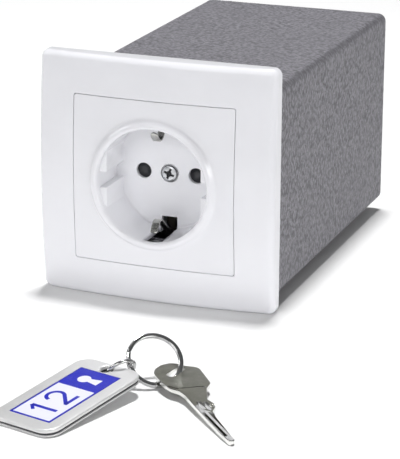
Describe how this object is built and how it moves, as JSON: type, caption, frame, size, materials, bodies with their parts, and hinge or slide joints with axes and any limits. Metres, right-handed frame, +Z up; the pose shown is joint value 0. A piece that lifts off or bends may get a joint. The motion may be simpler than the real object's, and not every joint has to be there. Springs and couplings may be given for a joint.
{
  "type": "outlet diversion safe",
  "caption": "Wall safe: a coated steel box whose drawer front looks like an earthed wall socket, with a cam lock behind the earth slot and a key, split ring and tag lying in front.",
  "frame": {"origin": "middle of the flat strip along the lower edge of the cover frame, on which the safe stands", "axes": "+X to the right seen from the front, +Y from the socket front into the wall, +Z up"},
  "size_m": [0.1088, 0.2534, 0.084],
  "materials": {
    "white_plastic": "glossy white moulding",
    "grey_coat": "wrinkle powder coat on steel",
    "zinc": "bright zinc plate",
    "bare_steel": "satin sheet steel",
    "dark_plastic": "satin moulding",
    "nylon": "natural moulding",
    "rubber": "ribbed mat",
    "brass": "machined",
    "key_steel": "rolled and stamped, nickel plated",
    "fob_metal": "fine brushed",
    "fob_print": "printed and clear coated"
  },
  "bodies": {
    "housing": {"housing_sleeve": "grey_coat", "housing_back_plate": "grey_coat", "runner_strip_left": "nylon", "runner_strip_right": "nylon", "stop_screw": "zinc"},
    "drawer": {"cover_frame": "white_plastic", "socket_cover": "white_plastic", "pin_blank_left": "dark_plastic", "pin_blank_right": "dark_plastic", "earth_bracket": "zinc", "centre_screw": "zinc", "socket_base": "dark_plastic", "support_ring": "bare_steel", "drawer_front_plate": "grey_coat", "ring_screw_left": "zinc", "ring_screw_right": "zinc", "drawer_tray": "grey_coat", "front_rivet_1": "bare_steel", "front_rivet_2": "bare_steel", "front_rivet_3": "bare_steel", "front_rivet_4": "bare_steel", "tray_mat": "rubber", "lock_plate": "bare_steel", "side_rivet_left": "bare_steel", "side_rivet_right": "bare_steel", "lock_body": "zinc", "lock_washer": "zinc", "lock_nut": "zinc"},
    "lock": {"lock_plug": "brass", "lock_cam": "zinc", "cam_screw": "zinc"},
    "key": {"key": "key_steel"},
    "ring": {"split_ring": "zinc"},
    "link": {"jump_ring": "zinc"},
    "fob": {"fob_backing": "fob_metal", "fob_core": "dark_plastic", "fob_plate": "fob_metal", "fob_label": "fob_print"}
  },
  "joints": [
    {"name": "drawer_slide", "type": "slide", "parent": "housing", "child": "drawer", "axis": [0, -1, 0], "range_m": [0, 0.105]},
    {"name": "lock_turn", "type": "hinge", "parent": "drawer", "child": "lock", "pos_m": [0.00175, 0.02, 0.0244], "axis": [0, -1, 0], "range_deg": [0, 90]},
    {"name": "key_lift", "type": "slide", "parent": "drawer", "child": "key", "axis": [0, 0, 1], "range_m": [0, 0.1]},
    {"name": "ring_swing", "type": "hinge", "parent": "key", "child": "ring", "pos_m": [0.0344, -0.07097, 0.00345], "axis": [0, 0, 1], "range_deg": [-6, 6]},
    {"name": "link_swing", "type": "hinge", "parent": "ring", "child": "link", "pos_m": [0.02127, -0.07865, 0.00665], "axis": [0, 0, 1], "range_deg": [-25, 3]},
    {"name": "fob_lift", "type": "hinge", "parent": "link", "child": "fob", "pos_m": [0.01919, -0.0802, 0.00582], "axis": [-0.6162, 0.5275, 0.5849], "range_deg": [0, 30]}
  ]
}
